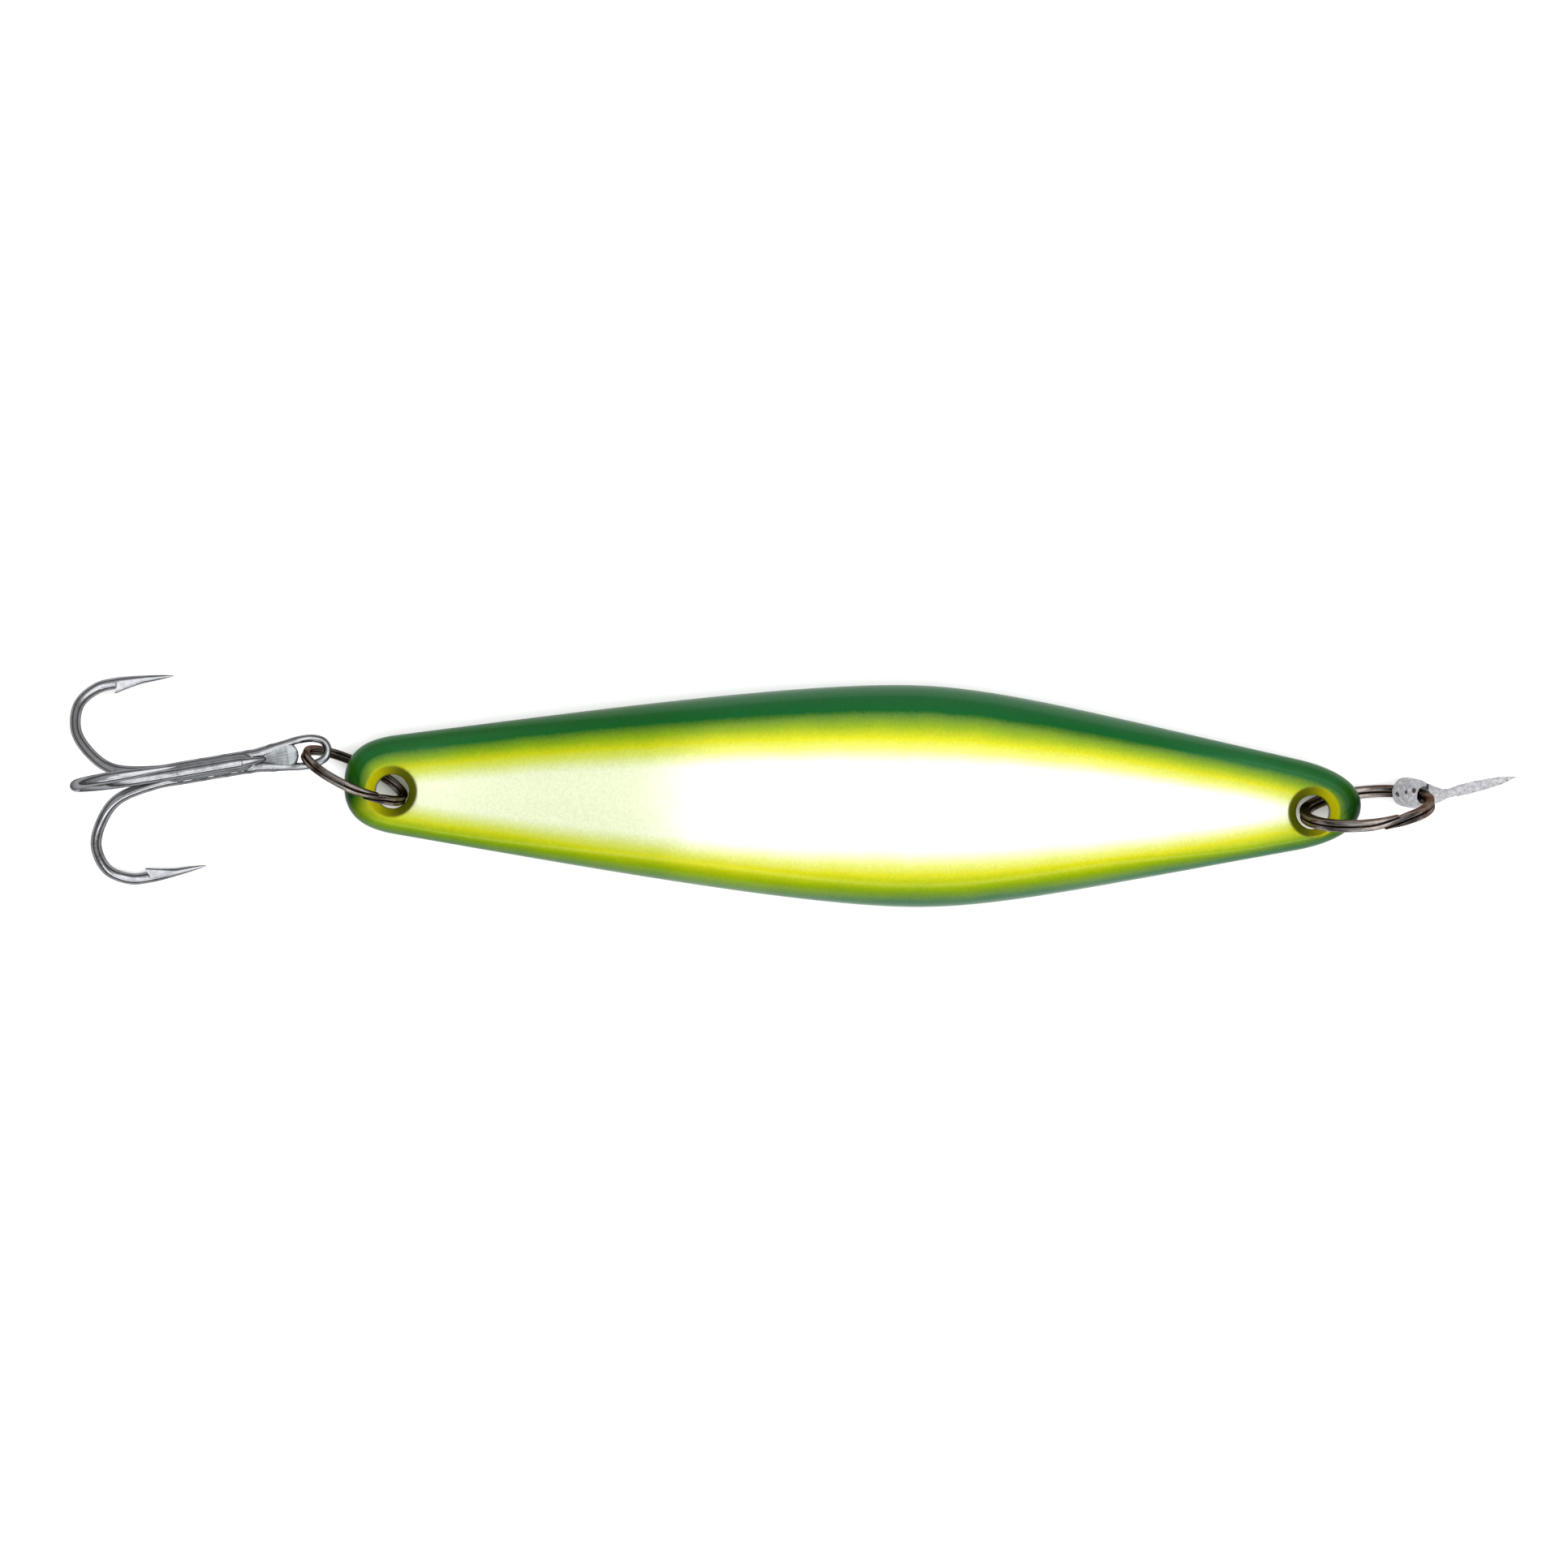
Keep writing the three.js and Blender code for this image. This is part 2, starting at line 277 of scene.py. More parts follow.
def solid(tone):
    # an everyday colour with the fourth value that colour sockets want
    return (*linear(*tone), 1)


cameraSet = {
    "lens": 120.0,
    "frameWidth": 169.6,  # mm across the frame
    "centre": (-7.44, 1.0),
    "level": 4.0,  # mm, the height at which that width holds
    "roll": 1.29,
}


def makeCamera():
    data = bpy.data.cameras.new("copyCamera")
    data.lens = cameraSet["lens"]
    data.clip_start = 0.01
    data.clip_end = 20
    camera = bpy.data.objects.new("copyCamera", data)
    bpy.context.scene.collection.objects.link(camera)
    distance = cameraSet["frameWidth"] * data.lens / data.sensor_width
    x, y = cameraSet["centre"]
    camera.location = Vector((x, y, cameraSet["level"] + distance)) * mm
    camera.rotation_euler = (0, 0, math.radians(cameraSet["roll"]))
    bpy.context.scene.camera = camera


makeCamera()
report("camera")


_, bodyHigh, bodyMiddle = boxInMm("lure_body")
noseHole = Vector(joints["nose_ring_swing"]["pos_m"]) / mm

body = {
    "halfLength": round(bodyHigh.x, 4),
    "halfWidth": round(bodyHigh.y, 4),
    "midPlane": round(bodyMiddle.z, 4),
    "widestX": 6.1,
    "endHalfThickness": 1.8,
    "flat": (-14.0, 24.0),  # the thickness is constant between these
    "evenEnd": 46.0,  # and constant again past this
    "edgeRoll": 1.05,  # width of the rolled edge over the half thickness
    "holeX": round(noseHole.x, 4),
    "holeY": round(noseHole.y, 4),
    "bore": 1.85,
    "countersink": 2.72,
    "countersinkDepth": 0.9,
    "lip": 0.16,  # rounding where the countersink meets the face
    "holeSides": 144,
    "outlineSteps": (44, 90, 76, 44),
    "rollSteps": 14,
    "acrossSteps": 26,
}


def bodyOutline():
    # half the outline from tail to nose, with the inward direction at every point
    tailSide, noseSide = (-49.2, 5.4), (48.2, 4.9)
    widest = (body["widestX"], body["halfWidth"])
    end, wide = body["halfLength"], body["halfWidth"]
    stretches = [
        ((-end, 0), (-end, 3.3), (-53.2, 4.85), tailSide),
        (tailSide, (-29.2, 8.4), (-6.5, wide), widest),
        (widest, (15, wide), (24.2, 9.8), noseSide),
        (noseSide, (51.6, 4.17), (end, 2.7), (end, 0)),
    ]
    points, inward = [], []
    for part, steps in zip(stretches, body["outlineSteps"]):
        p = np.array(part, float)
        lastOne = part is stretches[-1]
        for t in np.linspace(0, 1, steps + 1)[: None if lastOne else -1]:
            weights = np.array([(1 - t) ** 3, 3 * t * (1 - t) ** 2, 3 * t * t * (1 - t), t**3])
            first, second, third = np.diff(p, axis=0)
            slope = (1 - t) ** 2 * first + 2 * t * (1 - t) * second + t * t * third
            slope = slope / np.linalg.norm(slope)
            points.append(weights @ p)
            inward.append((slope[1], -slope[0]))
    return np.array(points), np.array(inward)


def halfThickness(x):
    # full in the middle, even at the ends, with a smooth taper between
    tail, nose = body["flat"]
    end = body["evenEnd"]
    past = np.where(x < 0, (tail - x) / (tail + end), (x - nose) / (end - nose))
    past = np.clip(past, 0, 1)
    return body["midPlane"] + (body["endHalfThickness"] - body["midPlane"]) * past * past * (3 - 2 * past)


def bodyMesh():
    half, inwardHalf = bodyOutline()
    flip = np.array([1, -1])
    outline = np.vstack([half, half[1:-1][::-1] * flip])
    inward = np.vstack([inwardHalf, inwardHalf[1:-1][::-1] * flip])
    thick = halfThickness(outline[:, 0])
    loops = []
    for k in range(-body["rollSteps"], body["rollSteps"] + 1):
        angle = k / body["rollSteps"] * math.pi / 2
        plan = outline + inward * (body["edgeRoll"] * thick * (1 - math.cos(angle)))[:, None]
        loops.append(np.column_stack([plan, body["midPlane"] + thick * math.sin(angle)]))
    count = len(outline)
    vertices = list(np.vstack(loops))
    faces = wallFaces(len(loops), count)
    # each broad face is filled by rows that run across it
    sideCount = len(half)
    for base, flipFace in ((0, True), ((len(loops) - 1) * count, False)):
        rows = []
        for i in range(1, sideCount - 1):
            far = count - i
            row = [base + i]
            for s in np.linspace(0, 1, body["acrossSteps"] + 1)[1:-1]:
                row.append(len(vertices))
                vertices.append((1 - s) * vertices[base + i] + s * vertices[base + far])
            rows.append(row + [base + far])
        for first, second in zip(rows, rows[1:]):
            for j in range(len(first) - 1):
                face = (first[j], second[j], second[j + 1], first[j + 1])
                faces.append(face if flipFace else face[::-1])
        for tip, row in ((base, rows[0]), (base + sideCount - 1, rows[-1])):
            for j in range(len(row) - 1):
                face = (tip, row[j], row[j + 1])
                atTail = tip == base
                faces.append(face if atTail == flipFace else face[::-1])
    return meshFrom("castBody", np.array(vertices) * mm, faces)


def turnedCutter():
    # both bores with their countersinks, as one object to cut with
    face, depth, lip = body["endHalfThickness"], body["countersinkDepth"], body["lip"]
    rim = body["countersink"]
    upper = [
        (body["bore"], face - depth),
        (rim - lip, face - lip * 0.95),
        (rim, face - lip * 0.3),
        (rim + lip, face + 0.02),
        (rim + 0.6, face + 1.2),
    ]
    profile = [(r, -z) for r, z in reversed(upper)] + upper
    turn = [2 * math.pi * (k + 0.5) / body["holeSides"] for k in range(body["holeSides"])]
    vertices, faces = [], []
    for x in (-body["holeX"], body["holeX"]):
        faces += closedFaces(len(profile), len(turn), len(vertices))
        for r, z in profile:
            for a in turn:
                vertices.append((x + r * math.cos(a), body["holeY"] + r * math.sin(a), body["midPlane"] + z))
    return linkMesh("holeCutter", meshFrom("holeCutter", np.array(vertices) * mm, faces))


def storeValues(piece, name, values):
    attribute = piece.data.attributes.new(name, "FLOAT", "POINT")
    attribute.data.foreach_set("value", values.astype(np.float32))


def paintDistances(piece):
    # plan distance of every point from the back's edge and from the belly's edge, for the lacquer
    half, _ = bodyOutline()
    dense = np.vstack([np.linspace(a, b, 5)[:-1] for a, b in zip(half, half[1:])] + [half[-1:]])
    count = len(piece.data.vertices)
    places = np.empty(count * 3, np.float32)
    piece.data.vertices.foreach_get("co", places)
    plan = places.reshape(-1, 3)[:, :2] / mm
    width = np.interp(plan[:, 0], half[:, 0], half[:, 1])
    for name, side in (("fromBack", 1), ("fromBelly", -1)):
        near = []
        for part in np.array_split(plan, 8):
            gaps = part[:, None, :] - dense[None, :, :] * np.array([1, side])
            near.append(np.sqrt((gaps**2).sum(axis=2).min(axis=1)))
        storeValues(piece, name, np.concatenate(near))
    pastHole = np.abs(plan[:, 0]) - body["holeX"]
    storeValues(piece, "bodyWidth", width)
    storeValues(piece, "fromHole", np.hypot(pastHole, plan[:, 1] - body["holeY"]))
    storeValues(piece, "towardsTip", pastHole / body["countersink"])


lacquer = {
    "tone": 0.6,  # how bright the paint is under this light
    "paints": {
        # a paler, greyer green right at the edge, partly the paint and partly a painted reflection on the
        # rolled edge
        "edgeGreenAndSheen": (60, 115, 75),
        "green": (10, 100, 40),
        "lime": (145, 175, 0),
        "yellow": (215, 215, 10),
        "lemon": (225, 230, 120),
        "pearl": (255, 255, 250),
    },
    # mm in from the edge, paint
    "backBands": [
        (0.0, "edgeGreenAndSheen"),
        (2.8, "green"),
        (4.5, "lime"),
        (5.8, "yellow"),
        (7.0, "lemon"),
        (9.0, "pearl"),
    ],
    "bellyBands": [(0.0, "edgeGreenAndSheen"), (1.4, "lime"), (3.0, "yellow"), (4.0, "lemon"), (6.0, "pearl")],
    "bellyShift": 0.55,  # mm, how much wider the belly's green is on the nose half
    "bandReach": 12.0,  # mm, where the bands have faded out
    "spreadAtEnds": 0.61,  # the bands are this much narrower where the body is narrow
    "cream": (233, 241, 212),
    "white": (255, 255, 255),
    "whiteFrom": (-24.0, -13.0),  # mm along the body, where the cream turns to bright white, partly pearl and partly a painted highlight
    "whiteTo": (42.0, 50.0),
    "speckle": 0.26,  # mm, how far the spray wanders
    "flakeScale": 5200.0,
    "flakeRange": (0.92, 1.06),
    "metallic": (0.1, 0.4),  # at the edges and in the middle
    # painted shade and painted light for the two sides of each countersink, and painted shade for the bores
    "holePaintedShade": (98, 104, 12),
    "holePaintedLight": (205, 200, 10),
    "borePaintedShade": (34, 32, 12),
}


def attributeNode(tree, name):
    return addNode(tree, "ShaderNodeAttribute", attribute_name=name).outputs["Fac"]


def lacquerMaterial():
    coat = {"Coat Weight": 0.14, "Coat IOR": 1.45, "Specular IOR Level": 0.04}
    material, tree, shader, coords = startMaterial("greenBackLacquer", coat)
    wide = rangeNode(tree, attributeNode(tree, "bodyWidth"), 4.0, body["halfWidth"], smooth=False)
    narrow = lacquer["spreadAtEnds"]
    spread = mathNode(tree, "MULTIPLY_ADD", mathNode(tree, "MULTIPLY", wide, wide), 1 - narrow, narrow)
    along = addNode(tree, "ShaderNodeSeparateXYZ", {"Vector": coords}).outputs["X"]
    noseward = rangeNode(tree, along, -0.012, 0.008)
    broad = noiseNode(tree, coords, 260.0, 3.0)
    grain = noiseNode(tree, coords, 3400.0, 2.0, 0.7)
    wander = mathNode(tree, "ADD", broad, grain)
    wander = mathNode(tree, "MULTIPLY_ADD", wander, lacquer["speckle"] * 2, -lacquer["speckle"] * 2)
    reach = lacquer["bandReach"]
    paints = lacquer["paints"]
    tints = []
    for name, bandsKey, shift in (
        ("fromBack", "backBands", 0.0),
        ("fromBelly", "bellyBands", lacquer["bellyShift"]),
    ):
        placed = mathNode(tree, "ADD", mathNode(tree, "DIVIDE", attributeNode(tree, name), spread), wander)
        placed = mathNode(tree, "MULTIPLY_ADD", noseward, -shift, placed)
        fraction = mathNode(tree, "DIVIDE", placed, reach, clamp=True)
        stops = [(place / reach, linear(*paints[tone])) for place, tone in lacquer[bandsKey]]
        tints.append(rampNode(tree, fraction, stops))
    bands = mixColor(tree, 1.0, tints[0], tints[1], "MULTIPLY")
    # bright white in the flat middle, partly pearl and partly a painted highlight, cream towards both ends
    along = mathNode(tree, "MULTIPLY_ADD", broad, 0.004, mathNode(tree, "ADD", along, -0.002))
    opens = rangeNode(tree, along, *(edge * mm for edge in lacquer["whiteFrom"]))
    shuts = rangeNode(tree, along, *(edge * mm for edge in lacquer["whiteTo"]), 1.0, 0.0)
    bright = mathNode(tree, "MULTIPLY", opens, shuts)
    base = mixColor(tree, bright, solid(lacquer["cream"]), solid(lacquer["white"]))
    paint = mixColor(tree, 1.0, bands, base, "MULTIPLY")
    # countersink walls painted darker on the side towards the body's middle and brighter on the tip side, as
    # painted shade and painted light
    inHole = rangeNode(tree, attributeNode(tree, "fromHole"), 2.95, 2.6)
    side = rangeNode(tree, attributeNode(tree, "towardsTip"), -0.5, 0.9)
    holeShadeAndLight = mixColor(tree, side, solid(lacquer["holePaintedShade"]), solid(lacquer["holePaintedLight"]))
    # the bore walls painted nearly black, as painted shade deep inside the holes
    inBore = rangeNode(tree, attributeNode(tree, "fromHole"), body["bore"] + 0.1, body["bore"] - 0.05)
    holeShadeAndLight = mixColor(tree, inBore, holeShadeAndLight, solid(lacquer["borePaintedShade"]))
    paint = mixColor(tree, inHole, paint, holeShadeAndLight)
    flake = addNode(tree, "ShaderNodeTexVoronoi", {"Vector": coords, "Scale": lacquer["flakeScale"]})
    dim, shiny = (lacquer["tone"] * share for share in lacquer["flakeRange"])
    glint = rangeNode(tree, flake.outputs["Color"], 0.0, 1.0, dim, shiny, smooth=False)
    paint = mixColor(tree, 1.0, paint, glint, "MULTIPLY")
    tree.links.new(paint, shader.inputs["Base Color"])
    # more bare plating shows where the paint is thin
    thin = mathNode(tree, "MINIMUM", attributeNode(tree, "fromBack"), attributeNode(tree, "fromBelly"))
    tree.links.new(rangeNode(tree, thin, 3.0, 9.0, *lacquer["metallic"]), shader.inputs["Metallic"])
    smear = noiseNode(tree, stretched(tree, coords, (60, 900, 900)), 1.0, 4.0)
    tree.links.new(rangeNode(tree, smear, 0.3, 0.75, 0.3, 0.36), shader.inputs["Roughness"])
    fine = bumpNode(tree, grain, 0.10, 0.00003)
    ripple = noiseNode(tree, stretched(tree, coords, (45, 110, 110)), 1.0, 2.0)
    tree.links.new(bumpNode(tree, ripple, 0.05, 0.0004, fine), shader.inputs["Normal"])
    scuff = noiseNode(tree, stretched(tree, coords, (900, 120, 120), (0, 0, 0.5)), 1.0, 5.0, 0.65)
    tree.links.new(rangeNode(tree, scuff, 0.55, 0.78, 0.08, 0.16), shader.inputs["Coat Roughness"])
    return material


def makeBody():
    piece = linkMesh("castBody", bodyMesh())
    cutter = turnedCutter()
    cut = piece.modifiers.new("cut", "BOOLEAN")
    cut.operation = "DIFFERENCE"
    cut.solver = "EXACT"
    cut.object = cutter
    frozen(piece)
    bpy.data.objects.remove(cutter)
    smoothWithCreases(piece, 34)
    paintDistances(piece)
    piece.data.materials.clear()
    piece.data.materials.append(lacquerMaterial())
    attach(piece, "body")
    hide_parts("lure_body")


makeBody()
report("body")


noseRing = {"outer": 14.5, "radial": 0.95, "axial": 1.2, "yaw": 8.0, "lean": 14.5, "seam": 75.0}
tailRing = {"outer": 12.3, "radial": 0.75, "axial": 1.0, "yaw": 155.5, "lean": -12.0, "seam": 120.0}
ringWire = {
    "turnGap": 0.12,
    "crossing": 0.4,  # half the angle, in radians, over which the wire steps to its second turn
    "endFrom": -0.13,  # where the ends lie, in radians round from the seam
    "corner": 0.17,
    "segments": 620,
    "tarnish": [
        (0.30, (0.07, 0.05, 0.04)),
        (0.48, (0.14, 0.12, 0.11)),
        (0.62, (0.19, 0.178, 0.168)),
        (0.8, (0.13, 0.07, 0.04)),
    ],
    "edgeTint": (0.35, 0.3, 0.28, 1),
}


def nickelMaterial():
    plating = {"Metallic": 1.0, "Specular Tint": ringWire["edgeTint"]}
    material, tree, shader, coords = startMaterial("darkNickel", plating)
    cloud = noiseNode(tree, coords, 420.0, 4.0, 0.6)
    tree.links.new(rampNode(tree, cloud, ringWire["tarnish"]), shader.inputs["Base Color"])
    drawn = noiseNode(tree, coords, 2600.0, 3.0, 0.6)
    tree.links.new(rangeNode(tree, drawn, 0.25, 0.8, 0.12, 0.3), shader.inputs["Roughness"])
    tree.links.new(bumpNode(tree, drawn, 0.22, 0.00002), shader.inputs["Normal"])
    return material


def ringTree():
    # a flat wire wound twice, in the ring's own frame
    tree, given = newTree(
        "splitRingWire",
        [
            ("Radius", "Float", 0.006),
            ("Depth", "Float", 0.0009),
            ("Strand", "Float", 0.0007),
            ("Pitch", "Float", 0.0008),
            ("Crossing", "Float", 0.36),
            ("End From", "Float", 0.05),
            ("Gap", "Float", 0.0001),
            ("Seam", "Float", 0.0),
            ("Corner", "Float", 0.0001),
            ("Segments", "Int", 400),
            ("Finish", "Material", None),
        ],
    )
    line = addNode(tree, "GeometryNodeCurvePrimitiveLine", {"End": (1, 0, 0)}).outputs[0]
    fine = addNode(tree, "GeometryNodeResampleCurve", {"Curve": line, "Count": given["Segments"]}).outputs[0]
    factor = addNode(tree, "GeometryNodeSplineParameter").outputs["Factor"]
    # the wire runs twice round, less or more a little at each end
    bothEnds = mathNode(tree, "MULTIPLY", given["End From"], 2.0)
    sweep = mathNode(tree, "SUBTRACT", 4 * math.pi, bothEnds)
    angle = mathNode(tree, "MULTIPLY_ADD", factor, sweep, given["End From"])
    early = mathNode(tree, "SUBTRACT", 2 * math.pi, given["Crossing"])
    late = mathNode(tree, "ADD", 2 * math.pi, given["Crossing"])
    step = rangeNode(tree, angle, early, late)
    turn = mathNode(tree, "ADD", angle, given["Seam"])
    x = mathNode(tree, "MULTIPLY", given["Radius"], mathNode(tree, "COSINE", turn))
    y = mathNode(tree, "MULTIPLY", given["Radius"], mathNode(tree, "SINE", turn))
    z = mathNode(tree, "MULTIPLY", given["Pitch"], mathNode(tree, "SUBTRACT", step, 0.5))
    place = joinXyz(tree, x, y, z)
    # each end is ground to a wedge that lies against the crossing turn
    nearEnd = mathNode(tree, "MINIMUM", angle, mathNode(tree, "SUBTRACT", 4 * math.pi, angle))
    behind = mathNode(tree, "MULTIPLY", given["Crossing"], -1.0)
    room = mathNode(tree, "MULTIPLY", rangeNode(tree, nearEnd, behind, given["Crossing"]), given["Pitch"])
    room = mathNode(tree, "DIVIDE", mathNode(tree, "SUBTRACT", room, given["Gap"]), given["Strand"])
    side = mathNode(tree, "COMPARE", step, 0.0, 0.5)
    stored = fine
    for name, value in (("wedge", room), ("lowTurn", side)):
        kept = {"Geometry": stored, "Name": name, "Value": value}
        stored = addNode(tree, "GeometryNodeStoreNamedAttribute", kept).outputs[0]
    bent = addNode(tree, "GeometryNodeSetPosition", {"Geometry": stored, "Position": place}).outputs[0]
    upright = addNode(tree, "GeometryNodeSetCurveNormal", {"Curve": bent}, mode="Z_UP").outputs[0]
    oblong = {"Width": given["Depth"], "Height": given["Strand"]}
    section = addNode(tree, "GeometryNodeCurvePrimitiveQuadrilateral", oblong).outputs[0]
    rounding = {"Curve": section, "Radius": given["Corner"], "Count": 5}
    section = addNode(tree, "GeometryNodeFilletCurve", rounding, mode="POLY").outputs[0]
    skin = {"Curve": upright, "Profile Curve": section, "Fill Caps": True}
    wire = addNode(tree, "GeometryNodeCurveToMesh", skin).outputs[0]
    wedge = addNode(tree, "GeometryNodeInputNamedAttribute", {"Name": "wedge"}).outputs["Attribute"]
    lowTurn = addNode(tree, "GeometryNodeInputNamedAttribute", {"Name": "lowTurn"}).outputs["Attribute"]
    spot = splitXyz(tree, addNode(tree, "GeometryNodeInputPosition").outputs[0])
    halfPitch = mathNode(tree, "MULTIPLY", given["Pitch"], 0.5)
    reach = mathNode(tree, "MULTIPLY_ADD", given["Strand"], 0.5, halfPitch)
    outer = mathNode(tree, "MULTIPLY", reach, mathNode(tree, "MULTIPLY_ADD", lowTurn, -2.0, 1.0))
    depth = mathNode(tree, "SUBTRACT", spot["Z"], outer)
    squeezed = mathNode(tree, "MULTIPLY_ADD", depth, wedge, outer)
    compare = {"operation": "LESS_THAN", "data_type": "FLOAT"}
    isEnd = addNode(tree, "FunctionNodeCompare", {0: wedge, 1: 0.999}, **compare).outputs[0]
    ground = {"Geometry": wire, "Selection": isEnd, "Position": joinXyz(tree, spot["X"], spot["Y"], squeezed)}
    wire = addNode(tree, "GeometryNodeSetPosition", ground).outputs[0]
    smooth = addNode(tree, "GeometryNodeSetShadeSmooth", {"Geometry": wire}).outputs[0]
    return endTree(tree, smooth, given["Finish"])


def ringPlace(ring, node):
    low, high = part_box(node)
    stand = Matrix.Rotation(math.pi / 2 + math.radians(ring["lean"]), 4, "X")
    face = Matrix.Rotation(math.radians(ring["yaw"]), 4, "Z")
    return Matrix.Translation((low + high) / 2) @ face @ stand


def makeRing(name, ring, node, onBody, tree, finish):
    strand = (ring["axial"] - ringWire["turnGap"]) / 2
    values = {
        "Radius": (ring["outer"] - ring["radial"]) / 2 * mm,
        "Depth": ring["radial"] * mm,
        "Strand": strand * mm,
        "Pitch": (strand + ringWire["turnGap"]) * mm,
        "Crossing": ringWire["crossing"],
        "End From": ringWire["endFrom"],
        "Gap": ringWire["turnGap"] * mm,
        "Seam": math.radians(ring["seam"]),
        "Corner": ringWire["corner"] * mm,
        "Segments": ringWire["segments"],
        "Finish": finish,
    }
    piece = runTree(linkMesh(name, bpy.data.meshes.new(name)), tree, values)
    piece.data.transform(ringPlace(ring, node))
    smoothWithCreases(piece, 50)
    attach(piece, onBody)
    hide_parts(node)


nickel = nickelMaterial()
wireTree = ringTree()
makeRing("noseSplitRing", noseRing, "nose_split_ring", "nose_ring", wireTree, nickel)
makeRing("tailSplitRing", tailRing, "tail_split_ring", "tail_ring", wireTree, nickel)
report("split rings")


hook = {
    "wire": 0.6,  # radius on the shank, in mm like the rest
    "eyeWire": 0.42,
    "strand": 0.74,  # from the shank's axis to each wire
    "yaw": 190.9,
    "pitch": 2.1,
    "upperProng": 92.5,  # places of the prongs round the shank
    "bellyProng": -31.0,
    "backProng": 206.5,
    "spearStart": 19.05,
    "pointAlong": 13.05,
    "spearRadial": 12.2,
    "pointRadial": 11.95,
    "pointWire": 0.02,
    "thirdRise": ((4.4, 0.1), (6.2, 0.52)),  # the third wire climbs out of the groove here
    "thirdTip": 0.16,
    "thirdTaper": 3.0,
    "barbStart": 16.3,
    "barbEnd": 19.3,
    "barbRise": 0.62,
    "barbLean": 0.55,
    "sides": 36,
    "edgeTint": (0.3, 0.3, 0.31, 1),
    "tinned": ((0.205, 0.21, 0.22), 0.16),  # colour and roughness
    "brazed": ((0.165, 0.175, 0.18), 0.28),
}


def smoothShare(value, low, high):
    share = min(max((value - low) / (high - low), 0), 1)
    return share * share * (3 - 2 * share)


def radially(along, out, place):
    angle = math.radians(place)
    return (along, out * math.cos(angle), out * math.sin(angle))


def prongKnots(place):
    # out of the shank, round the bend and back up to the point
    strand = hook["strand"]
    profile = [
        (8, strand),
        (13, strand),
        (16.5, strand + 0.05),
        (20.85, 1.9),
        (22.9, 4),
        (24.25, 7.2),
        (23.6, 10.4),
        (21.4, 12),
        (hook["spearStart"], hook["spearRadial"]),
        (hook["pointAlong"], hook["pointRadial"]),
    ]
    return [radially(along, out, place) for along, out in profile]


def hookWireRadius(point, tapered):
    out = math.hypot(point[1], point[2])
    full = hook["wire"]
    if tapered and point[0] < 7 and out < 1:
        past = (point[0] - hook["thirdRise"][0][0]) / hook["thirdTaper"]
        return hook["thirdTip"] + (full - hook["thirdTip"]) * max(past, 0) ** 0.6
    if out > hook["spearRadial"] - 2 and point[0] < hook["spearStart"]:
        left = (point[0] - hook["pointAlong"]) / (hook["spearStart"] - hook["pointAlong"])
        return hook["pointWire"] + (full - hook["pointWire"]) * max(left, 0) ** 0.62
    return hook["eyeWire"] + (full - hook["eyeWire"]) * smoothShare(point[0], 1.5, 5.0)


def barbHeight(along):
    # rises towards the bend and ends at once
    start, end = hook["barbStart"], hook["barbEnd"]
    if not start < along < end:
        return 0.0
    return hook["barbRise"] * ((along - start) / (end - start)) ** 1.15


def hookWireMesh(name, knots, count, tapered=False):
    # a round wire along the knots, with a barb raised on the inner side of each spear
    path = splinePoints(knots, count)
    loops = []
    for point, (along, across, up) in zip(path, sweepFrames(path, (0.2, 0.3, 1))):
        radius = hookWireRadius(point, tapered)
        out = math.hypot(point[1], point[2])
        inward = -np.array([0, point[1], point[2]]) / max(out, 1e-6)
        rise = barbHeight(point[0]) if out > hook["spearRadial"] - 1.5 else 0.0
        barb = inward + np.array([hook["barbLean"], 0, 0])
        loop = []
        for k in range(hook["sides"]):
            a = 2 * math.pi * k / hook["sides"]
            ray = math.cos(a) * across + math.sin(a) * up
            facing = max(float(ray @ inward), 0.0) ** 5
            loop.append(point + ray * radius + barb * rise * facing)
        loops.append(np.array(loop) * mm)
    return skinLoops(name, loops)


def eyeKnots(sign):
    half = [(5.4, 0.68, -0.28), (2.3, 1.2, -0.1), (0.8, 1.42, 0), (-0.9, 1.36, 0), (-2, 0.85, 0)]
    return [(x, sign * y, z) for x, y, z in half]


def hookPlace():
    where = Vector(joints["hook_swing"]["pos_m"])
    pitch = Matrix.Rotation(-math.radians(hook["pitch"]), 4, "Y")
    yaw = Matrix.Rotation(math.radians(hook["yaw"]), 4, "Z")
    return Matrix.Translation(where) @ yaw @ pitch


braze = {
    "start": 0.85,
    "end": 16.6,
    "web": 0.36,  # half the depth of the fill between the two lower strands
    "fillet": 0.52,
    "inset": 0.015,  # this far inside the wires, which stay in front of it
    "sides": 96,
    "rows": 130,
}


def brazeDiscs(along, strands, third):
    # the round spots whose outer edge is the braze's outline at one place on the shank
    first, second = strands
    discs = [(first * (1 - t) + second * t, braze["web"]) for t in np.linspace(0, 1, 9)]
    if along > 4.8:
        grown = min((along - 4.8) / 2, 1)
        discs += [((third + strand) / 2, braze["fillet"] * grown) for strand in strands]
        discs.append((third, (hook["wire"] - braze["inset"]) * grown))
    wire = hookWireRadius((along, 0, 0), False) - braze["inset"]
    return discs + [(strand, wire) for strand in strands]


def discReach(discs, centre, ray):
    # how far the discs reach from the centre in one direction
    reach = 0.05
    for place, radius in discs:
        offset = place - centre
        ahead = float(offset @ ray)
        aside = radius * radius - float(offset @ offset) + ahead * ahead
        if aside > 0:
            reach = max(reach, ahead + math.sqrt(aside))
    return reach


